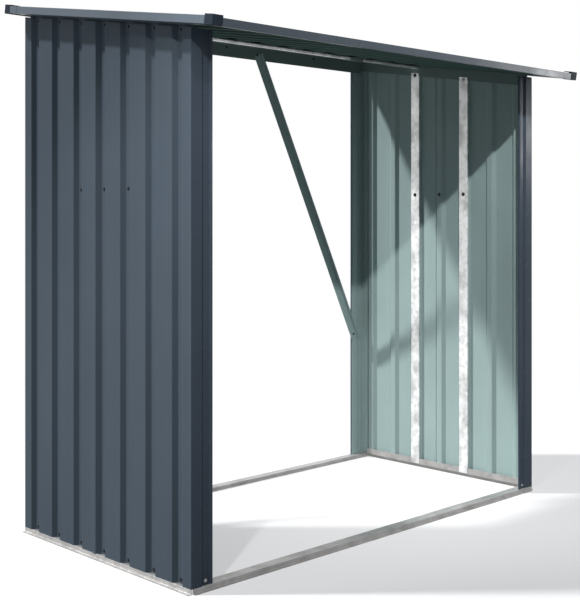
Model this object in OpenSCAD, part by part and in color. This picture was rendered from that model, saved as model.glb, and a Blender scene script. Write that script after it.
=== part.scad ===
// Metal log store: two ribbed sheet walls, an open front and rear, and a
// mono-pitch roof that falls towards the front. Millimetres, +Z up, X across
// the front, the front faces -Y. The origin is on the floor, at the centre of
// the whole object's footprint.

/* [Store] */
// Width over the outer faces of the side walls
store_w = 1990; // [1700:10:2400]
// Depth over the outer faces of the front and rear posts
store_d = 1030; // [960:10:1120]
// Height of a side wall at its front edge
front_h = 1871; // [1750:1:2050]
// Fall of the roof towards the front, in degrees
roof_pitch = 8.8; // [5:0.1:11]

/* [Sheet] */
// Thickness of every folded sheet
sheet_t = 2; // [1:0.5:3]
// Grooves across one side wall
wall_grooves = 7; // [7:2:7]
// Grooves across the roof
roof_grooves = 14; // [14:2:16]
// Depth of a groove
groove_depth = 16; // [10:1:18]
// Width of a groove's floor
groove_floor = 26; // [20:1:36]
// Width of a groove at its mouth
groove_mouth = 56; // [50:1:66]
// Reach of a panel's lip over the next panel
panel_lap = 12; // [8:1:14]

/* [Base rails] */
// Height of the ledge that the walls stand on
ledge_h = 18; // [14:1:24]
// Reach of the toe outside the walls
toe_w = 12; // [8:1:16]
// Width of the ledge under the front and rear openings
sill_w = 45; // [40:1:60]
// Height of the upstand behind the wall sheets
upstand_h = 45; // [35:1:60]
// Gap between two base rails where they meet at a corner
corner_gap = 10; // [6:1:14]
// Gap between a sill and the side rails' ledge
sill_gap = 2; // [1:1:4]

/* [Posts] */
// Width of a post's outer face
post_face = 47; // [40:1:56]
// Width of the recess beside it
post_recess = 32; // [24:1:40]
// Depth of the recess
post_step = 8; // [6:1:12]
// Width of the hem face along the opening
post_hem = 8; // [6:1:12]
// Length of the leg that lies along the wall
post_leg = 38; // [30:1:40]

/* [Wall straps and rails] */
// Width of the wall straps and the purlin
strap_w = 50; // [40:1:56]
// Depth of a strap's folded edges
strap_lip = 8; // [4:1:9]
// Depth of the top rails below the roof
rail_h = 50; // [40:1:60]
// Length of a strap that laps over its top rail
strap_lap = 14; // [10:1:20]
// Distance of a top rail's ends from the post planes
rail_inset = 12; // [8:1:20]

/* [Roof supports] */
// Height of the rear header
header_h = 60; // [50:1:80]
// Width of the header's top flange
header_flange = 18; // [12:1:24]
// How far the header laps over a rear post, at most to the top rail
header_lap = 74; // [20:1:74]
// Depth of the purlin
purlin_h = 15; // [12:1:20]
// Distance from the middle to each purlin sleeve
sleeve_x = 520; // [300:10:700]
// Length of a purlin sleeve
sleeve_l = 86; // [60:1:120]

/* [Braces] */
// Width of a knee brace
brace_w = 40; // [30:1:56]
// Distance from the middle to the head of a knee brace
brace_head_x = 240; // [150:5:400]
// Height of the head of a knee brace above the header's lower edge
brace_head_up = 26; // [20:1:34]
// Height of the foot of a knee brace
brace_foot_z = 615; // [450:5:900]
// How far the middle of a brace's foot lies inside its post's inner edge
brace_foot_in = 18; // [10:1:26]
// Width of the brace leg that stands out from the rear plane
brace_leg = 18; // [12:1:24]

/* [Roof edge] */
// Reach of the roof past the front posts, along the slope
front_overhang = 189; // [120:1:220]
// Reach of the roof past the rear posts, along the slope
rear_overhang = 39; // [30:1:80]
// Reach of the roof past each side wall
side_overhang = 69; // [60:1:90]
// Height of the front and rear fascias
fascia_h = 28; // [26:1:40]
// Height of the verge trims
verge_h = 28; // [26:1:40]
// Width of a corner cap along the front
cap_w = 44; // [40:1:60]
// Length of a corner cap along the slope
cap_l = 40; // [34:1:50]
// Height of a corner cap
cap_h = 36; // [34:1:50]
// Length of the collar that a rear cap puts round its trim
collar_l = 46; // [30:1:60]

/* [Hidden] */

anthracite = [0.24, 0.27, 0.31];
dark_green = [0.17, 0.22, 0.20];
galvanised = [0.72, 0.73, 0.74];
cap_grey = [0.13, 0.16, 0.20];

half_w = store_w / 2;
half_d = store_d / 2;
rise = tan(roof_pitch);

// the roof rests this far above the wall sheets' top edges
roof_gap = 10;
// length of the sloping line from the front post plane to the rear one
slope_l = store_d / cos(roof_pitch);
// the lowest level of the roof edge
edge_low = -5;
// the store is shifted back so that the footprint's centre is the origin: the
// front caps reach farthest out at their top, the rear caps at their bottom
front_reach = front_overhang * cos(roof_pitch) + (edge_low + cap_h) * sin(roof_pitch);
rear_reach = rear_overhang * cos(roof_pitch) - edge_low * sin(roof_pitch);
shift_y = (front_reach - rear_reach) / 2;

wall_pitch = store_d / wall_grooves;
// the plane behind the groove floors, measured inwards from a wall's face
inner_plane = groove_depth + sheet_t;
strap_plane = inner_plane + sheet_t;
strap_offset = wall_pitch;

// a post's two slanted steps: back into the recess, and forward to its hem face
step_back_run = 5;
step_forward_run = 4;
// the hem face slants back towards the opening
hem_fall = 2;
// the hem face lies this far behind the post plane
hem_recess = 1;
post_w = post_face + step_back_run + post_recess + step_forward_run + post_hem;

// the header's web lies against the inner side of the rear posts' recesses
header_y = half_d - post_step - 2 * sheet_t;
// clear space between the header's flange and the roof
header_clear = 1;
header_top = front_h + roof_gap + rise * (header_y - header_flange + half_d) - header_clear;
header_bottom = header_top - header_h;
brace_foot_x = half_w - post_w + brace_foot_in;
brace_head_z = header_bottom + brace_head_up;

// the purlin's middle, along the slope
purlin_y = (half_d + strap_offset) / cos(roof_pitch);

roof_half_w = half_w + side_overhang;
// the outermost sheets end this far inside the roof's side edges
sheet_inset = 31;
roof_pitch_x = 2 * (roof_half_w - sheet_inset) / roof_grooves;
cap_t = 3;
// the trims' faces lie this far behind the caps' faces
trim_recess = 1;
verge_low = -2;
top_flange = 30;
bottom_flange = 60;

big = 6000;

// ---- shared shapes

// everything is drawn about the middle of the walls and then shifted back
module placed() {
    translate([0, shift_y, 0]) children();
}

// the roof's own frame: y along the slope from the front post plane, z normal
// to it, 0 at the plane that the roof sheets rest on
module on_slope() {
    placed()
        translate([0, -half_d, front_h + roof_gap])
            rotate([roof_pitch, 0, 0]) children();
}

// the left half of a pair, or its mirror image
module sided(side) {
    if (side < 0) children();
    else mirror([1, 0, 0]) children();
}

// keeps what lies below the sloping line at a given drop under the roof plane
module below_roof(drop) {
    difference() {
        children();
        translate([-big / 2, -half_d, front_h + roof_gap - drop])
            rotate([roof_pitch, 0, 0])
                translate([0, -big / 2, 0]) cube([big, big, big]);
    }
}

// centre of a groove, numbered from the middle of a panel row
function groove_at(i, count, pitch) = (i - (count - 1) / 2) * pitch;

// the outer line of a ribbed sheet from its first edge to its last groove, as
// [along, out] points; out is 0 on the flats, -groove_depth on groove floors
function groove_line(from, first, last, count, pitch) = concat(
    [[from, 0]],
    [for (i = [first : last], p = [
        [-groove_mouth / 2, 0], [-groove_floor / 2, -groove_depth],
        [groove_floor / 2, -groove_depth], [groove_mouth / 2, 0]
    ]) [groove_at(i, count, pitch) + p[0], p[1]]]
);

// the last edge, and the folded lip that laps over the next panel
function lap_line(to, lap) = lap
    ? [[to - sheet_t, 0], [to - sheet_t, sheet_t], [to + panel_lap, sheet_t],
       [to + panel_lap, 0], [to, 0]]
    : [[to, 0]];

// cross-section of one ribbed panel
module panel_section(from, to, first, last, count, pitch, lap) {
    line = groove_line(from, first, last, count, pitch);
    under = [for (i = [len(line) - 1 : -1 : 0]) line[i] - [0, sheet_t]];
    polygon(concat(line, lap_line(to, lap), [[to, -sheet_t]], under));
}

function unit(v) = v / norm(v);
function left_of(v) = [-v[1], v[0]];

// where point i of a folded line goes when each leg moves 1 to its left
function mitre(line, i) =
    let (last = len(line) - 1,
         before = left_of(unit(line[max(i, 1)] - line[max(i, 1) - 1])),
         after = left_of(unit(line[min(i, last - 1) + 1] - line[min(i, last - 1)])),
         sum = before + after)
    sum * 2 / (sum * sum);

// cross-section of a sheet folded along a line, with its thickness on the left
module folded(line) {
    polygon(concat(line, [for (i = [len(line) - 1 : -1 : 0]) line[i] + sheet_t * mitre(line, i)]));
}

// a bar along X or Y whose section is made of rectangles [u, v, width, height]
module bar_section(rects) {
    union() for (r = rects) translate([r[0], r[1]]) square([r[2], r[3]]);
}

// sweeps a section drawn as [Y, Z] along X, between two x values
module along_x(from, to) {
    translate([from, 0, 0]) rotate([90, 0, 90])
        linear_extrude(height = to - from) children();
}

// sweeps a section drawn as [X, Z] along Y, between two y values
module along_y(from, to) {
    translate([0, to, 0]) rotate([90, 0, 0])
        linear_extrude(height = to - from) children();
}

// ---- base rails

// left or right rail: toe, web, ledge under the wall, upstand behind it
module side_base_rail(side) {
    color(galvanised) placed() sided(side) {
        along_y(-half_d, half_d) bar_section([
            [-half_w - toe_w, 0, toe_w + sheet_t, sheet_t],
            [-half_w, 0, sheet_t, ledge_h]
        ]);
        along_y(-half_d + sill_w + sill_gap, half_d - sill_w - sill_gap) bar_section([
            [-half_w, ledge_h - sheet_t, strap_plane, sheet_t],
            [-half_w + inner_plane, ledge_h - sheet_t, sheet_t, upstand_h - ledge_h + sheet_t]
        ]);
    }
}

// front or rear rail: toe, web, sill and a turned-down inner edge
module end_base_rail(end) {
    color(galvanised) placed() mirror([0, end, 0])
        along_x(-half_w + corner_gap, half_w - corner_gap) bar_section([
            [-half_d - toe_w, 0, toe_w + sheet_t, sheet_t],
            [-half_d, 0, sheet_t, ledge_h],
            [-half_d, ledge_h - sheet_t, sill_w, sheet_t],
            [-half_d + sill_w - sheet_t, 0, sheet_t, ledge_h]
        ]);
}

module base_rail_left() side_base_rail(-1);
module base_rail_right() side_base_rail(1);
module base_rail_front() end_base_rail(0);
module base_rail_rear() end_base_rail(1);

// ---- walls

// a wall panel stands on the ledge; its flats are the wall's outer face
module wall_panel(side, from, to, first, last, lap) {
    color(anthracite) placed() sided(side) below_roof(roof_gap)
        translate([-half_w, 0, ledge_h]) rotate([0, 0, 90])
            linear_extrude(height = front_h + store_d * rise)
                panel_section(from, to, first, last, wall_grooves, wall_pitch, lap);
}

// the joint lies just behind the middle groove, where the front panel laps over
middle = (wall_grooves - 1) / 2;
wall_joint = groove_mouth / 2 + 2 * sheet_t;

module front_panel(side)
    wall_panel(side, -half_d + sheet_t, wall_joint, 0, middle, true);
module rear_panel(side)
    wall_panel(side, wall_joint, half_d - sheet_t, middle + 1, wall_grooves - 1, false);

module left_wall_front_panel() front_panel(-1);
module left_wall_rear_panel() rear_panel(-1);
module right_wall_front_panel() front_panel(1);
module right_wall_rear_panel() rear_panel(1);

// ---- posts

// folded corner post: a leg along the wall, an outer face, a recess and a hem
// face along the opening with its edge turned back
module post(side, end) {
    recess_from = post_face + step_back_run;
    recess_to = recess_from + post_recess;
    color(anthracite) placed() sided(side) mirror([0, end, 0])
        below_roof_of(end)
            translate([-half_w, -half_d, ledge_h])
                linear_extrude(height = front_h + store_d * rise) {
                    translate([sheet_t, sheet_t]) square([sheet_t, post_leg]);
                    folded([
                        [0, 0], [post_face, 0],
                        [recess_from, post_step], [recess_to, post_step],
                        [recess_to + step_forward_run, hem_recess],
                        [post_w, hem_recess + hem_fall], [post_w, post_step + hem_recess]
                    ]);
                }
}

// the posts are cut to the roof's slope, also when drawn mirrored at the rear
module below_roof_of(end) {
    if (end == 0) below_roof(roof_gap) children();
    else mirror([0, 1, 0]) below_roof(roof_gap) mirror([0, 1, 0]) children();
}

module front_post_left() post(-1, 0);
module front_post_right() post(1, 0);
module rear_post_left() post(-1, 1);
module rear_post_right() post(1, 1);

// ---- wall straps and top rails

// shallow channel against the groove floors; its tongue laps over the top rail
module wall_strap(side, y) {
    tongue = rail_h - strap_lap;
    // the folded edges end inside the web, so that the two fuse
    lip_bite = 0.5;
    color(galvanised) placed() sided(side) translate([-half_w, y, 0]) {
        below_roof_at(y, tongue)
            translate([strap_plane, -strap_w / 2, ledge_h + sheet_t])
                cube([sheet_t, strap_w, front_h + store_d * rise]);
        below_roof_at(y, rail_h)
            for (edge = [-1, 1])
                translate([strap_plane - strap_lip + sheet_t,
                           edge * (strap_w - sheet_t) / 2 - sheet_t / 2, upstand_h + sheet_t])
                    cube([strap_lip - lip_bite, sheet_t, front_h + store_d * rise]);
    }
}

// the same cut as below_roof, for a shape drawn about its own y
module below_roof_at(y, drop) {
    translate([0, -y, 0]) below_roof(drop) translate([0, y, 0]) children();
}

module left_wall_strap_front() wall_strap(-1, -strap_offset);
module left_wall_strap_rear() wall_strap(-1, strap_offset);
module right_wall_strap_front() wall_strap(1, -strap_offset);
module right_wall_strap_rear() wall_strap(1, strap_offset);

// sloping angle along the top of a wall, which the roof sheets rest on
module top_rail(side) {
    color(dark_green) on_slope() sided(side)
        along_y(rail_inset, slope_l - rail_inset) bar_section([
            [-half_w + inner_plane, -rail_h, sheet_t, rail_h],
            [-half_w, -sheet_t, strap_plane, sheet_t]
        ]);
}

module left_top_rail() top_rail(-1);
module right_top_rail() top_rail(1);

// ---- rear header and knee braces

module rear_header() {
    color(dark_green) placed()
        along_x(-half_w + post_w - header_lap, half_w - post_w + header_lap) bar_section([
            [header_y, header_bottom, sheet_t, header_h],
            [header_y - header_flange, header_top - sheet_t, header_flange + sheet_t, sheet_t]
        ]);
}

// folded angle from the header down to the post, in the rear plane
module rear_brace(side) {
    run = brace_foot_x - brace_head_x;
    drop = brace_head_z - brace_foot_z;
    lean = atan2(run, drop);
    color(dark_green) placed() sided(side)
        translate([-brace_head_x, header_y - sheet_t, brace_head_z])
            rotate([0, lean, 0]) mirror([0, 0, 1]) translate([-brace_w / 2, 0, 0]) {
                cube([brace_w, sheet_t, norm([run, drop])]);
                translate([0, -brace_leg, 0])
                    cube([sheet_t, brace_leg + sheet_t, norm([run, drop])]);
            }
}

module rear_brace_left() rear_brace(-1);
module rear_brace_right() rear_brace(1);

// ---- purlin

module purlin() {
    color(galvanised) on_slope()
        along_x(-half_w + strap_plane, half_w - strap_plane) bar_section([
            [purlin_y - strap_w / 2, -purlin_h, strap_w, sheet_t],
            [purlin_y - strap_w / 2, -purlin_h, sheet_t, purlin_h],
            [purlin_y + strap_w / 2 - sheet_t, -purlin_h, sheet_t, purlin_h]
        ]);
}

// folded splice that wraps the purlin from below
module purlin_sleeve(side) {
    edge = strap_w / 2 + sheet_t;
    color(dark_green) on_slope() sided(side)
        along_x(-sleeve_x - sleeve_l / 2, -sleeve_x + sleeve_l / 2) bar_section([
            [purlin_y - edge, -purlin_h - sheet_t, 2 * edge, sheet_t],
            [purlin_y - edge, -purlin_h - sheet_t, sheet_t, purlin_h],
            [purlin_y + edge - sheet_t, -purlin_h - sheet_t, sheet_t, purlin_h]
        ]);
}

module purlin_sleeve_left() purlin_sleeve(-1);
module purlin_sleeve_right() purlin_sleeve(1);

// ---- roof

roof_from = -front_overhang + cap_t + sheet_t;
roof_to = slope_l + rear_overhang - cap_t - sheet_t;

// first grooves of the four sheets, and one past the last
sheet_starts = [0, 4, roof_grooves / 2, roof_grooves - 4, roof_grooves];

// edge of sheet n: half way between two grooves
function sheet_edge(n) =
    groove_at(sheet_starts[n], roof_grooves, roof_pitch_x) - roof_pitch_x / 2;

module roof_sheet(n) {
    color(anthracite) on_slope()
        translate([0, 0, groove_depth + sheet_t]) rotate([90, 0, 0])
            translate([0, 0, -roof_to]) linear_extrude(height = roof_to - roof_from)
                panel_section(sheet_edge(n), sheet_edge(n + 1), sheet_starts[n],
                              sheet_starts[n + 1] - 1, roof_grooves, roof_pitch_x, n < 3);
}

module roof_sheet_1() roof_sheet(0);
module roof_sheet_2() roof_sheet(1);
module roof_sheet_3() roof_sheet(2);
module roof_sheet_4() roof_sheet(3);

// ---- roof edge

// folded fascia with a flange over and under the sheets' ends
fascia_return = 14;

module fascia(face_y, inward) {
    color(anthracite) on_slope()
        translate([0, face_y, 0]) mirror([0, inward < 0 ? 1 : 0, 0])
            along_x(-roof_half_w + cap_w, roof_half_w - cap_w) bar_section([
                [0, edge_low, sheet_t, fascia_h],
                [0, edge_low + fascia_h - sheet_t, top_flange, sheet_t],
                [0, edge_low, fascia_return, sheet_t]
            ]);
}

module front_fascia() fascia(-front_overhang + trim_recess, 1);
module rear_fascia() fascia(slope_l + rear_overhang - trim_recess, -1);

// folded trim along a side edge, which carries the outermost sheet's edge
module verge_trim(side) {
    color(anthracite) on_slope() sided(side)
        along_y(-front_overhang + cap_l, slope_l + rear_overhang - cap_l) bar_section([
            [-roof_half_w + trim_recess, verge_low, sheet_t, verge_h],
            [-roof_half_w + trim_recess, verge_low + verge_h - sheet_t, top_flange, sheet_t],
            [-roof_half_w + trim_recess, verge_low, bottom_flange, sheet_t]
        ]);
}

module verge_trim_left() verge_trim(-1);
module verge_trim_right() verge_trim(1);

// moulded cap, open towards the roof; a rear cap has a collar along its trim
module corner_cap(side, end) {
    // the collar runs this far into the cap, so that the two fuse
    collar_bite = 1;
    color(cap_grey) on_slope() sided(side)
        translate([-roof_half_w, end == 0 ? -front_overhang : slope_l + rear_overhang, edge_low])
            mirror([0, end, 0]) {
                difference() {
                    cube([cap_w, cap_l, cap_h]);
                    translate([cap_t, cap_t, cap_t]) cube([cap_w, cap_l, cap_h - 2 * cap_t]);
                }
                if (end == 1)
                    translate([0, cap_l - collar_bite, verge_low - edge_low])
                        cube([trim_recess, collar_l + collar_bite, verge_h]);
            }
}

module corner_cap_front_left() corner_cap(-1, 0);
module corner_cap_front_right() corner_cap(1, 0);
module corner_cap_rear_left() corner_cap(-1, 1);
module corner_cap_rear_right() corner_cap(1, 1);

base_rail_left();
base_rail_right();
base_rail_front();
base_rail_rear();
left_wall_front_panel();
left_wall_rear_panel();
right_wall_front_panel();
right_wall_rear_panel();
front_post_left();
front_post_right();
rear_post_left();
rear_post_right();
left_wall_strap_front();
left_wall_strap_rear();
right_wall_strap_front();
right_wall_strap_rear();
left_top_rail();
right_top_rail();
rear_header();
rear_brace_left();
rear_brace_right();
purlin();
purlin_sleeve_left();
purlin_sleeve_right();
roof_sheet_1();
roof_sheet_2();
roof_sheet_3();
roof_sheet_4();
front_fascia();
rear_fascia();
verge_trim_left();
verge_trim_right();
corner_cap_front_left();
corner_cap_front_right();
corner_cap_rear_left();
corner_cap_rear_right();
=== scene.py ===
"""Looks of a sheet metal log store: folded, painted sheets, zinc rails, screws and stage."""
import math

import bmesh
import bpy
from bpy.props import FloatProperty, FloatVectorProperty, IntProperty, PointerProperty
from mathutils import Matrix, Vector


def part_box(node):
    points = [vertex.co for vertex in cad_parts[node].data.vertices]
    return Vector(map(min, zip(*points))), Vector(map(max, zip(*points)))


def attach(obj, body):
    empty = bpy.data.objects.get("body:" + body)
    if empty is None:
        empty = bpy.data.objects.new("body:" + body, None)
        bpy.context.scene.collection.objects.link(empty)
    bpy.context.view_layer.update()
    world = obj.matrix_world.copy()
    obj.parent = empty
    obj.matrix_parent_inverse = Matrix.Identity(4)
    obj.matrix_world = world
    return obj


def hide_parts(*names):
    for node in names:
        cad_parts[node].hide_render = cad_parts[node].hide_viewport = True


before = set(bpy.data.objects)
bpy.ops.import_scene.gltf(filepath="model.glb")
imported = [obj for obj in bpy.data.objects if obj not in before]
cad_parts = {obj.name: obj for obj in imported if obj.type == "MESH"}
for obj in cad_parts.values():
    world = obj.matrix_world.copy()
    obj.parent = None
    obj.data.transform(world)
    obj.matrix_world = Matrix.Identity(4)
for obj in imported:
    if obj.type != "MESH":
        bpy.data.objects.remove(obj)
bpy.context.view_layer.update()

bl_info = {
    "name": "Log Store",
    "version": (1, 0, 0),
    "blender": (4, 5, 0),
    "location": "View3D > Sidebar > Log Store",
    "description": "Folds the sheets of an open log store and sets its stage",
    "category": "Object",
}

RAIL_LOW, RAIL_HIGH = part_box("base_rail_left")
# the middle of the walls lies behind the middle of the whole footprint
SHIFT = (RAIL_LOW[1] + RAIL_HIGH[1]) / 2


class LogStoreSizes(bpy.types.PropertyGroup):
    """Sizes of the folded store."""
    half_width: FloatProperty(
        name="Half width", description="From the middle to a side wall's outer face",
        default=0.995, unit="LENGTH")
    half_depth: FloatProperty(
        name="Half depth", description="From the walls' middle to a post's outer face",
        default=(RAIL_HIGH[1] - RAIL_LOW[1]) / 2, unit="LENGTH")
    front_height: FloatProperty(
        name="Front height", description="Height of a side wall at its front edge",
        default=1.871, unit="LENGTH")
    pitch: FloatProperty(
        name="Roof pitch", description="Fall of the roof towards the front",
        default=math.radians(8.8), subtype="ANGLE")
    sheet: FloatProperty(
        name="Sheet", description="Thickness of a folded sheet", default=0.002, unit="LENGTH")
    bend: FloatProperty(
        name="Bend", description="How far a bend reaches to each side of a fold",
        default=0.0022, unit="LENGTH")
    groove_depth: FloatProperty(
        name="Groove depth", description="Depth of a groove", default=0.016, unit="LENGTH")
    groove_floor: FloatProperty(
        name="Groove floor", description="Width of a groove's floor", default=0.026, unit="LENGTH")
    groove_mouth: FloatProperty(
        name="Groove mouth", description="Width of a groove at its mouth",
        default=0.056, unit="LENGTH")
    flute_pitch: FloatProperty(
        name="Flute spacing", description="Spacing of the fine flutes on a flat",
        default=0.0145, unit="LENGTH")
    flute_width: FloatProperty(
        name="Flute width", description="Width of a fine flute", default=0.0050, unit="LENGTH")
    flute_depth: FloatProperty(
        name="Flute depth", description="Depth of a fine flute", default=0.0010, unit="LENGTH")
    wall_grooves: IntProperty(
        name="Wall grooves", description="Grooves across a side wall", default=7)
    roof_grooves: IntProperty(
        name="Roof grooves", description="Grooves across the roof", default=14)


class LogStoreColours(bpy.types.PropertyGroup):
    """Colours of the finishes."""
    outside: FloatVectorProperty(
        name="Outside paint", description="Anthracite coat of the sheets' outer side",
        default=(0.055, 0.072, 0.091), subtype="COLOR", size=3)
    posts: FloatVectorProperty(
        name="Post paint", description="Smooth anthracite coat of the corner posts",
        default=(0.055, 0.073, 0.097), subtype="COLOR", size=3)
    trim: FloatVectorProperty(
        name="Trim paint", description="Anthracite coat of the roof's edge",
        default=(0.088, 0.112, 0.138), subtype="COLOR", size=3)
    inside: FloatVectorProperty(
        name="Inside coat", description="Grey-green coat of the sheets' inner side",
        default=(0.28, 0.37, 0.36), subtype="COLOR", size=3)
    # The roof sheets' lower side has the same grey-green coat as the walls' inner side; this darker
    # copy of it is painted shade for the shaded underside of the roof.
    roof_inside: FloatVectorProperty(
        name="Roof lining coat", description="Coat of the roof sheets' lower side",
        default=(0.062, 0.110, 0.098), subtype="COLOR", size=3)
    # The top rails, the header and the purlin sleeves have the same grey-green coat as the walls'
    # inner side; this darker copy of it is painted shade for where they lie under the roof.
    frame_shade: FloatVectorProperty(
        name="Frame coat", description="Coat of the rails, header and braces",
        default=(0.150, 0.205, 0.190), subtype="COLOR", size=3)
    strap_zinc: FloatVectorProperty(
        name="Strap zinc", description="Bright galvanised steel of the straps and the purlin",
        default=(0.88, 0.88, 0.88), subtype="COLOR", size=3)
    rail_zinc: FloatVectorProperty(
        name="Rail zinc", description="Duller galvanised steel of the base rails",
        default=(0.45, 0.44, 0.43), subtype="COLOR", size=3)
    caps: FloatVectorProperty(
        name="Corner caps", description="Moulded plastic of the roof's corner caps",
        default=(0.021, 0.029, 0.039), subtype="COLOR", size=3)
    dark_screws: FloatVectorProperty(
        name="Dark screws", description="Blackened steel of most screws and bolts",
        default=(0.035, 0.038, 0.042), subtype="COLOR", size=3)
    bright_screws: FloatVectorProperty(
        name="Bright screws", description="Plain zinc of the post screws and two bolts",
        default=(0.5, 0.5, 0.51), subtype="COLOR", size=3)


class LogStoreStage(bpy.types.PropertyGroup):
    """Camera, light and floor."""
    lens: FloatProperty(
        name="Lens", description="Focal length", default=67.08, subtype="DISTANCE_CAMERA")
    turn: FloatProperty(
        name="Turn", description="How far the camera looks to the right of straight back",
        default=math.radians(44.385), subtype="ANGLE")
    drop: FloatProperty(
        name="Drop", description="Share of the picture by which a level view is lowered",
        default=0.1483, subtype="FACTOR")
    spot: FloatVectorProperty(
        name="Camera", description="Where the camera stands, from the walls' middle",
        default=(-3.3356, -3.3717, 1.2653), subtype="TRANSLATION", unit="LENGTH", size=3)
    sun: FloatProperty(name="Sun", description="Strength of the key light", default=4.2)
    sky: FloatProperty(name="Sky", description="Strength of the light all round", default=0.16)
    fill: FloatProperty(
        name="Fill", description="Power of the light that shines in from the front",
        default=620.0, subtype="POWER")
    corner: FloatProperty(
        name="Corner", description="Power of the light on the near corner", default=190.0,
        subtype="POWER")
    side: FloatProperty(
        name="Side", description="Power of the soft panel on the left", default=10.0,
        subtype="POWER")
    glint: FloatProperty(
        name="Glint", description="Power of the panel that the fascia mirrors", default=9.5,
        subtype="POWER")


def sizes():
    return bpy.context.scene.log_store_sizes


def colours():
    return bpy.context.scene.log_store_colours


# ---- modelling helpers

def deselect():
    bpy.ops.object.select_all(action="DESELECT")


def only(piece):
    deselect()
    piece.select_set(True)
    bpy.context.view_layer.objects.active = piece


def apply_place(piece):
    """Puts the object's place, turn and scale into its mesh."""
    only(piece)
    bpy.ops.object.transform_apply(location=True, rotation=True, scale=True)


def edit(piece, mode="FACE"):
    only(piece)
    bpy.ops.object.mode_set(mode="EDIT")
    bpy.ops.mesh.select_mode(type=mode)
    bpy.ops.mesh.select_all(action="DESELECT")


def leave_edit():
    bpy.ops.object.mode_set(mode="OBJECT")


def pick(piece, kind, chosen):
    """Selects the faces or edges for which chosen is true, in edit mode; returns how many."""
    mesh = bmesh.from_edit_mesh(piece.data)
    found = [part for part in getattr(mesh, kind) if chosen(part)]
    for part in found:
        part.select_set(True)
    bmesh.update_edit_mesh(piece.data)
    return len(found)


def fold(name, line, low, high, bend=None):
    """A strip from low to high along Z, folded along a line of (x, y) points: a plane whose
    edge is extruded from fold to fold, with its folds rounded."""
    first, second = Vector(line[0]), Vector(line[1])
    run = second - first
    deselect()
    bpy.ops.mesh.primitive_plane_add(
        size=1, location=((first + second) / 2).to_3d() + Vector((0, 0, (low + high) / 2)),
        rotation=(math.pi / 2, 0, math.atan2(run.y, run.x)))
    strip = bpy.context.object
    strip.name = strip.data.name = name
    strip.scale = (run.length, high - low, 1)
    apply_place(strip)
    edit(strip, "EDGE")
    at_end = lambda edge: all((v.co.xy - second).length < 1e-5 for v in edge.verts)
    if pick(strip, "edges", at_end) != 1:
        raise RuntimeError(f"{name}: the first fold has no edge to extrude")
    for start, end in zip(line[1:], line[2:]):
        bpy.ops.mesh.extrude_region_move(
            TRANSFORM_OT_translate={"value": (end[0] - start[0], end[1] - start[1], 0)})
    bpy.ops.mesh.select_all(action="DESELECT")
    bend = bend or sizes().bend
    sharp = lambda edge: len(edge.link_faces) == 2 and edge.calc_face_angle(0) > math.radians(25)
    if pick(strip, "edges", sharp):
        bpy.ops.mesh.bevel(offset=bend, segments=3, affect="EDGES")
    leave_edit()
    return strip


def block(middle, size):
    """A box with its middle and its size."""
    deselect()
    bpy.ops.mesh.primitive_cube_add(size=1, location=middle)
    box = bpy.context.object
    box.scale = size
    apply_place(box)
    return box


def thicken(piece, side, *materials, thickness=None):
    """Gives the strip its thickness, to the left or the right of its line. The line's own face
    and the cut edges take the first material, and the other face the last one."""
    for material in materials if side == "left" else reversed(materials):
        piece.data.materials.append(material)
    modifier = piece.modifiers.new("Thickness", "SOLIDIFY")
    modifier.thickness = thickness or sizes().sheet
    modifier.offset = -1 if side == "left" else 1
    modifier.use_even_offset = True
    modifier.use_quality_normals = True
    modifier.material_offset = len(materials) - 1
    modifier.material_offset_rim = 0 if side == "left" else len(materials) - 1
    only(piece)
    bpy.ops.object.modifier_apply(modifier=modifier.name)


def place(piece, matrix):
    piece.matrix_world = matrix
    apply_place(piece)
    return piece


def bisect(piece, point, normal, clear=True):
    """Cuts the open sheet; what lies beyond the plane goes if clear is true."""
    edit(piece)
    bpy.ops.mesh.select_all(action="SELECT")
    bpy.ops.mesh.bisect(plane_co=point, plane_no=normal, clear_outer=clear, clear_inner=False)
    leave_edit()


def notch(piece, point, normal, chosen):
    """Takes away the faces beyond the plane whose middle is chosen."""
    bisect(piece, point, normal, clear=False)
    edit(piece)
    origin, normal = Vector(point), Vector(normal)

    def beyond(face):
        middle = face.calc_center_median()
        return (middle - origin).dot(normal) > 0 and chosen(middle)

    if pick(piece, "faces", beyond):
        bpy.ops.mesh.delete(type="FACE")
    leave_edit()


def copied(piece):
    """A copy with its own mesh."""
    only(piece)
    bpy.ops.object.duplicate(linked=False)
    return bpy.context.object


def mirrored(piece, name):
    """A copy mirrored across the middle of the store."""
    twin = copied(piece)
    twin.name = twin.data.name = name
    twin.scale = (-1, 1, 1)
    apply_place(twin)
    return twin


def joined(name, *parts):
    deselect()
    for part in parts:
        part.select_set(True)
    bpy.context.view_layer.objects.active = parts[0]
    if len(parts) > 1:
        bpy.ops.object.join()
    whole = bpy.context.object
    whole.name = whole.data.name = name
    return whole


def finish_piece(piece, node=None, smooth=40):
    """Closes the piece: outward faces, even shading, and its ties to the frame."""
    edit(piece)
    bpy.ops.mesh.select_all(action="SELECT")
    bpy.ops.mesh.normals_make_consistent(inside=False)
    leave_edit()
    only(piece)
    bpy.ops.object.shade_smooth_by_angle(angle=math.radians(smooth))
    modifier = piece.modifiers.new("Even shading", "WEIGHTED_NORMAL")
    modifier.keep_sharp = True
    modifier.weight = 80
    bpy.ops.object.modifier_apply(modifier=modifier.name)
    if node:
        piece.name = piece.data.name = f"{node}_finished"
        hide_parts(node)
    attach(piece, "root")


def pair(piece, left_node, right_node):
    """Finishes a left piece and its mirrored right one."""
    twin = mirrored(piece, right_node)
    finish_piece(piece, left_node)
    finish_piece(twin, right_node)


# ---- places

def upright():
    return Matrix.Translation((0, SHIFT, 0))


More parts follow.
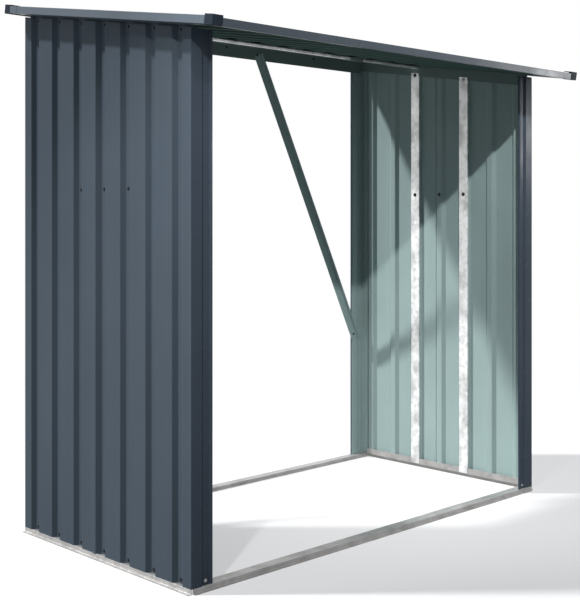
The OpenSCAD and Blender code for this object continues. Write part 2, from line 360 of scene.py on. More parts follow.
def slope():
    """The roof's own frame: Y along the slope from the front posts, Z normal to it."""
    s = sizes()
    base = Matrix.Translation((0, SHIFT - s.half_depth, s.front_height + ROOF_GAP))
    return base @ Matrix.Rotation(s.pitch, 4, "X")


def axes(a, b, c):
    """The matrix that turns a section's two axes and its length to a, b and c."""
    return Matrix((a, b, c)).transposed().to_4x4()


ALONG_X = axes((0, 1, 0), (0, 0, 1), (1, 0, 0))
ALONG_Y = axes((1, 0, 0), (0, 0, 1), (0, -1, 0))
WALL = axes((0, 1, 0), (-1, 0, 0), (0, 0, 1))

# the roof rests this far above the walls' top edges
ROOF_GAP = 0.010
# how far the roof reaches past the posts, along the slope, and past a wall
FRONT_REACH, REAR_REACH, SIDE_REACH = 0.189, 0.039, 0.069
# walls, posts and straps are folded this tall and then cut to the roof's slope
UNCUT = 2.2
# reach of a sheet's lip over the next one, and of the slant up to it
LIP, LIP_RUN = 0.012, 0.004
# how far a bend reaches to each side of a fold
RAIL_BEND, FRAME_BEND, TRIM_BEND, STRAP_BEND = 0.0012, 0.0014, 0.0016, 0.0018

# base rails: height of the ledge and of the upstand, reach of the toe, width of a sill,
# and how far inside the side rails a sill ends
LEDGE, UPSTAND, TOE, SILL, CORNER_GAP = 0.018, 0.045, 0.012, 0.045, 0.010
# a sill's inner edge ends this far above the floor
FLOOR_GAP = 0.001
# a side rail's ledge and upstand lie further inside its web than this
PAST_WEB = 0.0015

# a post's outer line: how far along its face, and how far behind the post plane
POST_WIDTH, POST_STEP = 0.096, 0.008
POST_LINE = ((0, 0), (0.047, 0), (0.052, POST_STEP), (0.084, POST_STEP), (0.088, 0.001),
             (POST_WIDTH, 0.003), (POST_WIDTH, 0.009))
# folds and ends of its leg along the wall, behind the post plane
POST_LEG = (0.040, 0.021, 0.002)

# a strap's back and a top rail's inner face lie this far inside the wall's outer face
STRAP_PLANE = 0.020
STRAP_WIDTH, STRAP_LIP = 0.050, 0.008
# width of a strap's folded edge with its bend, and its lap over the top rail
STRAP_EDGE, STRAP_LAP = 0.0019, 0.014
RAIL_HEIGHT, RAIL_INSET = 0.050, 0.012

# the header's size, its lap over the posts and its clear space under the roof
HEADER_HEIGHT, HEADER_FLANGE, HEADER_LAP, HEADER_CLEAR = 0.060, 0.018, 0.074, 0.001
BRACE_WIDTH, BRACE_LEG = 0.040, 0.020
# a brace's head from the middle and above the header's lower edge
BRACE_HEAD_X, BRACE_HEAD_UP = 0.240, 0.026
# its foot's lap over the post, and height above the floor
BRACE_FOOT_IN, BRACE_FOOT_Z = 0.018, 0.615

PURLIN_DEPTH = 0.015
# the purlin's rims slant inwards by this much, over this height
RIM_RUN, RIM_HEIGHT = 0.009, 0.005
SLEEVE_X, SLEEVE_LENGTH = 0.520, 0.086

# grooves in each of the two outermost roof sheets
OUTER_GROOVES = 4
# the outermost sheets end this far inside the roof's side edges
SHEET_INSET = 0.031
# every sheet ends this far behind the caps' faces
SHEET_END = 0.005
# the trims' faces lie this far behind the caps' faces
TRIM_RECESS = 0.001
# lower and upper edges above the plane that the sheets rest on
FASCIA_LOW, FASCIA_HIGH, VERGE_LOW, VERGE_HIGH = -0.005, 0.023, -0.002, 0.026
TOP_FLANGE, BOTTOM_FLANGE, FASCIA_RETURN = 0.030, 0.060, 0.014
CAP_WIDTH, CAP_LENGTH, CAP_HEIGHT, CAP_WALL = 0.044, 0.040, 0.036, 0.003
# the collar's length, of which a part is inside the cap, and its wall
COLLAR_LENGTH, COLLAR_BITE, COLLAR_WALL = 0.047, 0.001, 0.0016

# heights of the foot row and the middle row of wall screws
FOOT_ROW, MIDDLE_ROW = 0.031, 1.345
# depth below the walls' top line of the top row and of the straps' upper bolts
TOP_ROW, STRAP_BOLT = 0.010, 0.038
# a post's screw, from the wall's outer face and above the floor
POST_SCREW_IN, POST_SCREW_Z = 0.068, 0.032
# the header's screws: from the middle, and above its lower edge
HEADER_SCREWS, HEADER_SCREW_UP = (-0.62, -0.05, 0.05, 0.62), 0.044
# the screws of the braces' feet
FOOT_SCREW_IN, FOOT_SCREW_Z = 0.012, 0.635
# the roof's front and rear rows, inside the front edge and before the rear posts
FRONT_ROW, REAR_ROW = 0.045, 0.014


def slope_length():
    s = sizes()
    return 2 * s.half_depth / math.cos(s.pitch)


def wall_pitch():
    s = sizes()
    return 2 * s.half_depth / s.wall_grooves


def wall_groove_centres():
    count = sizes().wall_grooves
    return [(i - (count - 1) // 2) * wall_pitch() for i in range(count)]


def roof_cut(drop=0.0):
    """A point on, and the normal of, the plane at that drop below the walls' top line."""
    s = sizes()
    point = (0, SHIFT - s.half_depth, s.front_height - drop)
    return point, (0, -math.sin(s.pitch), math.cos(s.pitch))


def ribbed_line(start, end, centres, pitch, flutes=(-2, -1, 0, 1, 2)):
    """The outer line of a ribbed sheet, with fine flutes on its flats; y is 0 on the flats."""
    s = sizes()
    half_mouth, half_floor, half_flute = s.groove_mouth / 2, s.groove_floor / 2, s.flute_width / 2
    points = [(start, 0)]
    edges = [start] + [c + side * half_mouth for c in centres for side in (-1, 1)] + [end]
    for number, (low, high) in enumerate(zip(edges[::2], edges[1::2])):
        middle = centres[number] - pitch / 2 if number < len(centres) else centres[-1] + pitch / 2
        for step in flutes:
            at = middle + step * s.flute_pitch
            if low + 2 * half_flute < at < high - 2 * half_flute:
                points += [(at - half_flute, 0), (at, -s.flute_depth), (at + half_flute, 0)]
        if number < len(centres):
            c = centres[number]
            points += [(c - half_mouth, 0), (c - half_floor, -s.groove_depth),
                       (c + half_floor, -s.groove_depth), (c + half_mouth, 0)]
    return points + [(end, 0)]


def lap(line):
    """Ends the line in a lip that rises by a sheet and laps over the next sheet. A flat narrower
    than a flute before it is left out, so that the last groove's flank runs on into the lip."""
    end, s = line[-1][0], sizes()
    last = line[-2][0]
    if end - last < 3 * s.sheet:
        slant = (s.groove_mouth - s.groove_floor) / 2 / s.groove_depth
        return line[:-2] + [(last + s.sheet * slant, s.sheet), (end + LIP, s.sheet)]
    return line[:-1] + [(end - LIP_RUN, 0), (end, s.sheet), (end + LIP, s.sheet)]


# ---- materials

def nodes_of(name):
    material = bpy.data.materials.new(name)
    material.use_nodes = True
    tree = material.node_tree
    return material, tree, tree.nodes["Principled BSDF"]


def put(tree, kind, inputs=None, **settings):
    """Adds a node; inputs maps a socket's name or number to a value or another node's socket."""
    node = tree.nodes.new(kind)
    for key, value in settings.items():
        setattr(node, key, value)
    for key, value in (inputs or {}).items():
        if isinstance(value, bpy.types.NodeSocket):
            tree.links.new(value, node.inputs[key])
        else:
            node.inputs[key].default_value = value
    return node


def noise(tree, scale, detail=3.0, stretch=(1, 1, 1)):
    where = put(tree, "ShaderNodeTexCoord")
    where = put(tree, "ShaderNodeMapping", {"Vector": where.outputs["Object"], "Scale": stretch})
    made = put(tree, "ShaderNodeTexNoise",
               {"Vector": where.outputs[0], "Scale": scale, "Detail": detail})
    return made.outputs["Fac"]


def spread(tree, value, low, high, start=0.3, end=0.7):
    made = put(tree, "ShaderNodeMapRange",
               {"Value": value, "From Min": start, "From Max": end, "To Min": low, "To Max": high})
    return made.outputs[0]


def multiply(tree, *values):
    out = values[0]
    for value in values[1:]:
        out = put(tree, "ShaderNodeMath", {0: out, 1: value}, operation="MULTIPLY").outputs[0]
    return out


def tinted(tree, colour, strength):
    """The colour times a strength that varies over the surface."""
    return put(tree, "ShaderNodeVectorMath", {0: tuple(colour), "Scale": strength},
               operation="SCALE").outputs[0]


def paint(name, colour, gloss=0.42, shine=0.28):
    """Coil coating on sheet steel: soft cloudy tone, faint drawn streaks, orange peel."""
    material, tree, shader = nodes_of(name)
    tone = multiply(tree,
                    spread(tree, noise(tree, 2.6), 0.95, 1.05),
                    spread(tree, noise(tree, 18.0, 4.0, (1, 1, 0.06)), 0.975, 1.025),
                    spread(tree, noise(tree, 420.0, 2.0), 0.97, 1.03))
    tree.links.new(tinted(tree, colour, tone), shader.inputs["Base Color"])
    rough = spread(tree, noise(tree, 9.0, 5.0), gloss - 0.05, gloss + 0.06)
    tree.links.new(rough, shader.inputs["Roughness"])
    peel = put(tree, "ShaderNodeBump", {
        "Height": noise(tree, 600.0, 2.0), "Strength": 0.06, "Distance": 0.0006})
    waves = put(tree, "ShaderNodeBump", {
        "Height": noise(tree, 5.0, 1.0, (1, 1, 0.35)), "Strength": 0.08, "Distance": 0.01,
        "Normal": peel.outputs[0]})
    tree.links.new(waves.outputs[0], shader.inputs["Normal"])
    shader.inputs["Specular IOR Level"].default_value = shine
    return material


def zinc(name, colour, spangle=55.0, mottle=0.22):
    """Hot-dip zinc: crystal spangle, cloudy dull patches, fine scratches."""
    material, tree, shader = nodes_of(name)
    where = put(tree, "ShaderNodeTexCoord")
    cells = put(tree, "ShaderNodeTexVoronoi",
                {"Vector": where.outputs["Object"], "Scale": spangle}, feature="F1")
    cell = put(tree, "ShaderNodeSeparateColor", {0: cells.outputs["Color"]}).outputs[0]
    clouds = noise(tree, 14.0, 5.0, (1, 1, 0.7))
    tone = multiply(tree,
                    spread(tree, cell, 1 - mottle / 2, 1 + mottle / 2, 0.0, 1.0),
                    spread(tree, clouds, 1 - mottle, 1.06, 0.36, 0.56))
    tree.links.new(tinted(tree, colour, tone), shader.inputs["Base Color"])
    rough = put(tree, "ShaderNodeMath", {
        0: spread(tree, cell, 0.30, 0.46, 0.0, 1.0), 1: spread(tree, clouds, 0.10, 0.0)},
        operation="ADD").outputs[0]
    tree.links.new(rough, shader.inputs["Roughness"])
    shader.inputs["Metallic"].default_value = 0.6
    scratch = put(tree, "ShaderNodeBump", {
        "Height": noise(tree, 90.0, 3.0, (1, 1, 0.08)), "Strength": 0.08, "Distance": 0.0005})
    tree.links.new(scratch.outputs[0], shader.inputs["Normal"])
    return material


def plastic(name, colour):
    """Moulded plastic with a fine spark-eroded grain."""
    material, tree, shader = nodes_of(name)
    tone = spread(tree, noise(tree, 30.0), 0.92, 1.08)
    tree.links.new(tinted(tree, colour, tone), shader.inputs["Base Color"])
    tree.links.new(spread(tree, noise(tree, 240.0), 0.36, 0.5), shader.inputs["Roughness"])
    grain = put(tree, "ShaderNodeBump", {
        "Height": noise(tree, 500.0, 2.0), "Strength": 0.04, "Distance": 0.0003})
    tree.links.new(grain.outputs[0], shader.inputs["Normal"])
    shader.inputs["Specular IOR Level"].default_value = 0.06
    return material


def finish(name):
    """The named finish, made when it is first asked for."""
    made = bpy.data.materials.get(name)
    if made:
        return made
    c = colours()
    makers = {
        "outside_paint": lambda: paint(name, c.outside, shine=0.09),
        "post_paint": lambda: paint(name, c.posts, gloss=0.25, shine=0.1),
        # painted shade: the fascias take the walls' darker colour instead of the verges' trim
        # paint, to darken the front fascia's shaded face
        "fascia_paint": lambda: paint(name, c.outside, gloss=0.26, shine=0.3),
        "inside_coat": lambda: paint(name, c.inside, gloss=0.6, shine=0.18),
        # painted shade: a darker copy of the inside coat, for the roof's shaded underside and the
        # trims' inner faces
        "roof_inside_coat": lambda: paint(name, c.roof_inside, gloss=0.75, shine=0.05),
        # painted shade: a darker copy of the inside coat, for the top rails, the header and the
        # purlin sleeves under the roof
        "frame_coat": lambda: paint(name, c.frame_shade, gloss=0.6, shine=0.12),
        "trim_paint": lambda: paint(name, c.trim, gloss=0.34, shine=0.4),
        "zinc_rails": lambda: zinc(name, c.rail_zinc, mottle=0.14),
        "zinc_straps": lambda: zinc(name, c.strap_zinc, spangle=48.0, mottle=0.30),
        "moulded_plastic": lambda: plastic(name, c.caps),
        "dark_screws": lambda: zinc(name, c.dark_screws, mottle=0.1),
        "bright_screws": lambda: zinc(name, c.bright_screws, mottle=0.1),
    }
    return makers[name]()


# ---- the store's pieces

class Undoable:
    """What the operators share."""
    bl_options = {"REGISTER", "UNDO"}


class LOGSTORE_OT_base_rails(Undoable, bpy.types.Operator):
    """Fold the four base rails"""
    bl_idname = "log_store.base_rails"
    bl_label = "Base Rails"

    def execute(self, context):
        s = sizes()
        metal = finish("zinc_rails")
        outer = -s.half_width
        side = place(fold("base_rail_left", [
            (outer - TOE, s.sheet), (outer, s.sheet), (outer, LEDGE),
            (outer + STRAP_PLANE - s.sheet, LEDGE), (outer + STRAP_PLANE - s.sheet, UPSTAND)
        ], -s.half_depth, s.half_depth, bend=RAIL_BEND), upright() @ ALONG_Y)
        inside = lambda middle: middle.x > outer + PAST_WEB
        for end in (-1, 1):
            sill_edge = s.half_depth - SILL - s.sheet
            notch(side, (0, SHIFT + end * sill_edge, 0), (0, end, 0), inside)
        thicken(side, "right", metal)
        pair(side, "base_rail_left", "base_rail_right")

        front = fold("base_rail_front", [
            (-s.half_depth - TOE, s.sheet), (-s.half_depth, s.sheet), (-s.half_depth, LEDGE),
            (-s.half_depth + SILL, LEDGE), (-s.half_depth + SILL, FLOOR_GAP)
        ], -s.half_width + CORNER_GAP, s.half_width - CORNER_GAP, bend=RAIL_BEND)
        thicken(place(front, ALONG_X), "right", metal)
        rear = copied(front)
        rear.scale = (1, -1, 1)
        for rail, node in ((front, "base_rail_front"), (rear, "base_rail_rear")):
            apply_place(rail)
            finish_piece(place(rail, upright()), node)
        return {"FINISHED"}


class LOGSTORE_OT_wall_panels(Undoable, bpy.types.Operator):
    """Fold the ribbed wall panels"""
    bl_idname = "log_store.wall_panels"
    bl_label = "Wall Panels"

    def execute(self, context):
        s = sizes()
        pitch = wall_pitch()
        middle = (s.wall_grooves - 1) // 2
        centres = wall_groove_centres()
        joint = s.groove_mouth / 2 + 2 * s.sheet
        front = lap(ribbed_line(-s.half_depth + s.sheet, joint, centres[:middle + 1], pitch))
        rear = ribbed_line(joint, s.half_depth - s.sheet, centres[middle + 1:], pitch)
        stand = upright() @ Matrix.Translation((-s.half_width, 0, 0)) @ WALL
        for name, line in (("front", front), ("rear", rear)):
            panel = place(fold(f"left_wall_{name}_panel", line, LEDGE, UNCUT), stand)
            bisect(panel, *roof_cut())
            thicken(panel, "right", finish("outside_paint"), finish("inside_coat"))
            pair(panel, f"left_wall_{name}_panel", f"right_wall_{name}_panel")
        return {"FINISHED"}


class LOGSTORE_OT_posts(Undoable, bpy.types.Operator):
    """Fold the four corner posts"""
    bl_idname = "log_store.posts"
    bl_label = "Corner Posts"

    def execute(self, context):
        s = sizes()
        for end, name, side in ((-1, "front", "left"), (1, "rear", "right")):
            at = lambda x, y: (x - s.half_width, end * (s.half_depth - y))
            face = fold("face", [at(*point) for point in POST_LINE], LEDGE, UNCUT,
                        bend=FRAME_BEND)
            leg = fold("leg", [at(s.sheet, y) for y in POST_LEG], LEDGE, UNCUT)
            for part in (face, leg):
                place(part, upright())
                bisect(part, *roof_cut())
                thicken(part, side, finish("post_paint"), finish("inside_coat"))
            post = joined(f"{name}_post_left", face, leg)
            pair(post, f"{name}_post_left", f"{name}_post_right")
        return {"FINISHED"}


class LOGSTORE_OT_wall_straps(Undoable, bpy.types.Operator):
    """Fold the upright straps on the walls' inner side"""
    bl_idname = "log_store.wall_straps"
    bl_label = "Wall Straps"

    def execute(self, context):
        s = sizes()
        for name, y in (("front", -wall_pitch()), ("rear", wall_pitch())):
            web = -s.half_width + STRAP_PLANE + s.sheet
            lip = web - STRAP_LIP
            low, high = y - STRAP_WIDTH / 2, y + STRAP_WIDTH / 2
            strap = place(fold(f"left_wall_strap_{name}", [
                (lip, low), (web, low), (web, high), (lip, high)
            ], LEDGE + s.sheet, UNCUT, bend=STRAP_BEND), upright())
            edge = lambda middle: abs(middle.y - y - SHIFT) > STRAP_WIDTH / 2 - STRAP_EDGE
            below_rail = RAIL_HEIGHT - ROOF_GAP
            bisect(strap, *roof_cut((below_rail - STRAP_LAP) / math.cos(s.pitch)))
            notch(strap, *roof_cut(below_rail / math.cos(s.pitch)), edge)
            notch(strap, (0, 0, UPSTAND + s.sheet), (0, 0, -1), edge)
            thicken(strap, "left", finish("zinc_straps"))
            pair(strap, f"left_wall_strap_{name}", f"right_wall_strap_{name}")
        return {"FINISHED"}


class LOGSTORE_OT_top_rails(Undoable, bpy.types.Operator):
    """Fold the sloping rails on the walls"""
    bl_idname = "log_store.top_rails"
    bl_label = "Top Rails"

    def execute(self, context):
        s = sizes()
        web = -s.half_width + STRAP_PLANE
        rail = fold("left_top_rail", [(web, -RAIL_HEIGHT), (web, 0), (-s.half_width, 0)],
                    -slope_length() + RAIL_INSET, -RAIL_INSET, bend=FRAME_BEND)
        thicken(place(rail, slope() @ ALONG_Y), "left",
                finish("frame_coat"), finish("outside_paint"))
        pair(rail, "left_top_rail", "right_top_rail")
        return {"FINISHED"}


class LOGSTORE_OT_header(Undoable, bpy.types.Operator):
    """Fold the rear header"""
    bl_idname = "log_store.header"
    bl_label = "Rear Header"

    def execute(self, context):
        s = sizes()
        reach = s.half_width - POST_WIDTH + HEADER_LAP
        header = fold("rear_header", [
            (header_y(), header_low()), (header_y(), header_high() - s.sheet),
            (header_y() - HEADER_FLANGE, header_high() - s.sheet)
        ], -reach, reach)
        thicken(place(header, upright() @ ALONG_X), "right", finish("frame_coat"))
        finish_piece(header, "rear_header")
        return {"FINISHED"}


def header_y():
    """The front face of the header's web, from the walls' middle."""
    s = sizes()
    return s.half_depth - POST_STEP - 2 * s.sheet


def header_high():
    """The header's flange lies just under the roof at its front edge."""
    s = sizes()
    rise = math.tan(s.pitch) * (header_y() - HEADER_FLANGE + s.half_depth)
    return s.front_height + ROOF_GAP + rise - HEADER_CLEAR


def header_low():
    return header_high() - HEADER_HEIGHT


class LOGSTORE_OT_braces(Undoable, bpy.types.Operator):
    """Fold the two knee braces of the rear plane"""
    bl_idname = "log_store.braces"
    bl_label = "Knee Braces"

    def execute(self, context):
        s = sizes()
        head = Vector((-BRACE_HEAD_X, 0, header_low() + BRACE_HEAD_UP))
        foot = Vector((-(s.half_width - POST_WIDTH + BRACE_FOOT_IN), 0, BRACE_FOOT_Z))
        rise = (head - foot).normalized()
        across = Vector((rise.z, 0, -rise.x))
        half = BRACE_WIDTH / 2
        rear = header_y()
        brace = fold("rear_brace_left", [
            (-half, rear - BRACE_LEG), (-half, rear), (half, rear)
        ], -(head - foot).length, 0)
        turn = Matrix.Translation((head.x, SHIFT, head.z)) @ axes(across, (0, 1, 0), rise)
        thicken(place(brace, turn), "right", finish("inside_coat"))
        pair(brace, "rear_brace_left", "rear_brace_right")
        return {"FINISHED"}


def purlin_y():
    """The purlin's middle, along the slope: over the rear straps."""
    s = sizes()
    return (s.half_depth + wall_pitch()) / math.cos(s.pitch)


class LOGSTORE_OT_purlin(Undoable, bpy.types.Operator):
    """Fold the purlin and its two sleeves"""
    bl_idname = "log_store.purlin"
    bl_label = "Purlin"

    def execute(self, context):
        s = sizes()
        at = purlin_y()
        reach = s.half_width - STRAP_PLANE
        low, high = at - STRAP_WIDTH / 2, at + STRAP_WIDTH / 2
        purlin = fold("purlin", [
            (low + RIM_RUN, 0), (low, -RIM_HEIGHT), (low, -PURLIN_DEPTH),
            (high, -PURLIN_DEPTH), (high, -RIM_HEIGHT), (high - RIM_RUN, 0)
        ], -reach, reach, bend=FRAME_BEND)
        thicken(place(purlin, slope() @ ALONG_X), "left", finish("zinc_straps"))
        finish_piece(purlin, "purlin")
        low, high, under = low - s.sheet, high + s.sheet, -PURLIN_DEPTH - s.sheet
        sleeve = fold("purlin_sleeve_left", [
            (low, -s.sheet), (low, under), (high, under), (high, -s.sheet)
        ], -SLEEVE_X - SLEEVE_LENGTH / 2, -SLEEVE_X + SLEEVE_LENGTH / 2)
        thicken(place(sleeve, slope() @ ALONG_X), "left", finish("frame_coat"))
        pair(sleeve, "purlin_sleeve_left", "purlin_sleeve_right")
        return {"FINISHED"}


def roof_groove_pitch():
    s = sizes()
    return 2 * (s.half_width + SIDE_REACH - SHEET_INSET) / s.roof_grooves


def roof_groove_centres():
    count = sizes().roof_grooves
    return [(i - (count - 1) / 2) * roof_groove_pitch() for i in range(count)]


class LOGSTORE_OT_roof_sheets(Undoable, bpy.types.Operator):
    """Fold the four ribbed roof sheets"""
    bl_idname = "log_store.roof_sheets"
    bl_label = "Roof Sheets"

    def execute(self, context):
        s = sizes()
        count = s.roof_grooves
        pitch = roof_groove_pitch()
        centres = roof_groove_centres()
        starts = [0, OUTER_GROOVES, count // 2, count - OUTER_GROOVES, count]
        lift = slope() @ Matrix.Translation((0, 0, s.groove_depth + s.sheet)) @ ALONG_Y
        for number, (first, last) in enumerate(zip(starts, starts[1:])):
            own = centres[first:last]
            line = ribbed_line(own[0] - pitch / 2, own[-1] + pitch / 2, own, pitch, flutes=())
            if last < count:
                line = lap(line)
            name = f"roof_sheet_{number + 1}"
            sheet = fold(name, line, -(slope_length() + REAR_REACH - SHEET_END),
                         FRONT_REACH - SHEET_END)
            thicken(place(sheet, lift), "right",
                    finish("outside_paint"), finish("roof_inside_coat"))
            finish_piece(sheet, name)
        return {"FINISHED"}


class LOGSTORE_OT_roof_edge(Undoable, bpy.types.Operator):
    """Fold the fascias and the verge trims"""
    bl_idname = "log_store.roof_edge"
    bl_label = "Roof Edge"

    def execute(self, context):
        s = sizes()
        half = s.half_width + SIDE_REACH
        length = slope_length()
        for name, face, inward, side in (
                ("front_fascia", -FRONT_REACH + TRIM_RECESS, 1, "left"),
                ("rear_fascia", length + REAR_REACH - TRIM_RECESS, -1, "right")):
            fascia = fold(name, [
                (face + inward * TOP_FLANGE, FASCIA_HIGH), (face, FASCIA_HIGH),
                (face, FASCIA_LOW), (face + inward * FASCIA_RETURN, FASCIA_LOW)
            ], -half + CAP_WIDTH, half - CAP_WIDTH, bend=TRIM_BEND)
            thicken(place(fascia, slope() @ ALONG_X), side,
                    finish("fascia_paint"), finish("roof_inside_coat"))
            finish_piece(fascia, name)
        face = -half + TRIM_RECESS
        trim = fold("verge_trim_left", [
            (face + TOP_FLANGE, VERGE_HIGH), (face, VERGE_HIGH),
            (face, VERGE_LOW), (face + BOTTOM_FLANGE, VERGE_LOW)
        ], -(length + REAR_REACH - CAP_LENGTH), FRONT_REACH - CAP_LENGTH, bend=TRIM_BEND)
        thicken(place(trim, slope() @ ALONG_Y), "left",
                finish("trim_paint"), finish("roof_inside_coat"))
        pair(trim, "verge_trim_left", "verge_trim_right")
        return {"FINISHED"}


class LOGSTORE_OT_corner_caps(Undoable, bpy.types.Operator):
    """Mould the roof's corner caps"""
    bl_idname = "log_store.corner_caps"
    bl_label = "Corner Caps"

    def execute(self, context):
        s = sizes()
        half = s.half_width + SIDE_REACH
        for end, name in ((-1, "front"), (1, "rear")):
            outer = -FRONT_REACH if end < 0 else slope_length() + REAR_REACH
            cap = block((-half + CAP_WIDTH / 2, outer - end * CAP_LENGTH / 2,
                         FASCIA_LOW + CAP_HEIGHT / 2), (CAP_WIDTH, CAP_LENGTH, CAP_HEIGHT))
            edit(cap)
            pick(cap, "faces", lambda f: f.normal.x > 0.9 or f.normal.y * -end > 0.9)
            bpy.ops.mesh.delete(type="FACE")
            bpy.ops.mesh.select_mode(type="EDGE")
            pick(cap, "edges", lambda e: len(e.link_faces) == 2)
            bpy.ops.mesh.bevel(offset=0.002, segments=3, affect="EDGES")
            leave_edit()
            thicken(cap, "left", finish("moulded_plastic"), thickness=CAP_WALL)
            parts = [cap]
            if end > 0:
                collar = block((-half + COLLAR_WALL / 2,
                                outer - CAP_LENGTH + COLLAR_BITE - COLLAR_LENGTH / 2,
                                (VERGE_LOW + VERGE_HIGH) / 2),
                               (COLLAR_WALL, COLLAR_LENGTH, VERGE_HIGH - VERGE_LOW))
                edit(collar, "EDGE")
                bpy.ops.mesh.select_all(action="SELECT")
                bpy.ops.mesh.bevel(offset=0.0004, segments=2, affect="EDGES")
                leave_edit()
                collar.data.materials.append(finish("trim_paint"))
                parts.append(collar)
            cap = place(joined(f"corner_cap_{name}_left", *parts), slope())
            pair(cap, f"corner_cap_{name}_left", f"corner_cap_{name}_right")
        return {"FINISHED"}


# ---- screws and bolts

def round_top(part, above, size):
    """Rounds the edges that lie above a height."""
    apply_place(part)
    edit(part, "EDGE")
    pick(part, "edges", lambda e: min(v.co.z for v in e.verts) > above)
    bpy.ops.mesh.bevel(offset=size, segments=2, affect="EDGES")
    leave_edit()


def screw(radius=0.0042, washer=0.0068, thin=0.0010, tall=0.0038):
    """A hexagon screw head on a thin round washer, pointing up from the origin."""
    deselect()
    bpy.ops.mesh.primitive_cylinder_add(
        vertices=20, radius=washer, depth=thin, location=(0, 0, thin / 2))
    disc = bpy.context.object
    bpy.ops.mesh.primitive_cylinder_add(
        vertices=6, radius=radius, depth=tall, location=(0, 0, thin + tall / 2))
    head = bpy.context.object
    round_top(disc, thin / 2, 0.0003)
    round_top(head, tall / 2, 0.0006)
    return joined("screw", disc, head)


def bolt_end(radius=0.0062):
    """A flange nut with the bolt's tip in it, pointing up from the origin."""
    base = screw(radius, radius * 1.45)
    deselect()
    bpy.ops.mesh.primitive_cylinder_add(
        vertices=14, radius=radius * 0.5, depth=0.005, location=(0, 0, 0.0045))
    tip = bpy.context.object
    round_top(tip, 0.006, 0.0008)
    return joined("bolt_end", base, tip)


def set_along(pattern, name, places, material):
    """Copies the pattern to (point, direction) places, each with its own mesh, as one piece."""
    copies = []
    for number, (point, direction) in enumerate(places):
        one = copied(pattern)
        turn = Vector(direction).to_track_quat("Z", "Y").to_matrix().to_4x4()
        spin = Matrix.Rotation(0.7 * number, 4, "Z")
        one.matrix_world = Matrix.Translation(point) @ turn @ spin
        apply_place(one)
        copies.append(one)
    row = joined(name, *copies)
    row.data.materials.append(material)
    finish_piece(row, smooth=35)


def discard(pattern):
    bpy.data.objects.remove(pattern, do_unlink=True)


def wall_top(y):
    """Height of the walls' top line, y from the walls' middle."""
    s = sizes()
    return s.front_height + (y + s.half_depth) * math.tan(s.pitch)


class LOGSTORE_OT_wall_screws(Undoable, bpy.types.Operator):
    """Set the screws in the wall grooves and the bolts through the straps"""
    bl_idname = "log_store.wall_screws"
    bl_label = "Wall Screws"

    def execute(self, context):
        s = sizes()
        head = screw()
        nut = bolt_end()
        rows = wall_groove_centres()
        near = [0, wall_pitch(), -wall_pitch()]
        for side, name in ((-1, "left"), (1, "right")):
            floor = side * (s.half_width - s.groove_depth)
            outward = (side, 0, 0)
            places = [((floor, y + SHIFT, FOOT_ROW), outward) for y in rows]
            places += [((floor, y + SHIFT, wall_top(y) - TOP_ROW), outward) for y in rows]
            places += [((floor, y + SHIFT, MIDDLE_ROW), outward) for y in near]
            set_along(head, f"{name}_wall_screws", places, finish("dark_screws"))
            back = side * (s.half_width - STRAP_PLANE + s.sheet)
            strap = side * (s.half_width - STRAP_PLANE - s.sheet)
            inward = (-side, 0, 0)
            ends = [((back if y == 0 else strap, y + SHIFT, MIDDLE_ROW), inward) for y in near]
            rear, front = [((strap, y + SHIFT, wall_top(y) - STRAP_BOLT), inward)
                           for y in (wall_pitch(), -wall_pitch())]
            set_along(nut, f"{name}_wall_bolts", ends + [rear], finish("dark_screws"))
            set_along(nut, f"{name}_strap_bolt", [front], finish("bright_screws"))
        discard(head)
        discard(nut)
        return {"FINISHED"}


class LOGSTORE_OT_frame_screws(Undoable, bpy.types.Operator):
    """Set the screws of the posts, the header and the braces"""
    bl_idname = "log_store.frame_screws"
    bl_label = "Frame Screws"

    def execute(self, context):
        s = sizes()
        head = screw(0.0036, 0.006)
        post_x, recess = s.half_width - POST_SCREW_IN, s.half_depth - POST_STEP
        places = [((side * post_x, SHIFT + end * recess, POST_SCREW_Z), (0, end, 0))
                  for end in (-1, 1) for side in (-1, 1)]
        set_along(head, "post_screws", places, finish("bright_screws"))
        web = SHIFT + header_y()
        low = header_low()
        ahead = (0, -1, 0)
        foot = s.half_width - POST_WIDTH + FOOT_SCREW_IN
        places = [((x, web, low + HEADER_SCREW_UP), ahead) for x in HEADER_SCREWS]
        for x, z in ((BRACE_HEAD_X, low + BRACE_HEAD_UP), (foot, FOOT_SCREW_Z)):
            places += [((side * x, web - s.sheet, z), ahead) for side in (-1, 1)]
        set_along(head, "header_screws", places, finish("dark_screws"))
        discard(head)
        return {"FINISHED"}


class LOGSTORE_OT_roof_screws(Undoable, bpy.types.Operator):
    """Set the roof screws in the groove floors"""
    bl_idname = "log_store.roof_screws"
    bl_label = "Roof Screws"

    def execute(self, context):
        s = sizes()
        head = screw()
        tilt = slope()
        up = tilt.to_3x3() @ Vector((0, 0, 1))
        lines = (-FRONT_REACH + FRONT_ROW, purlin_y(), slope_length() - REAR_ROW)
        places = [(tilt @ Vector((x, y, s.sheet)), up)
                  for y in lines for x in roof_groove_centres()]
        set_along(head, "roof_screws", places, finish("dark_screws"))
        discard(head)
        return {"FINISHED"}


# ---- stage

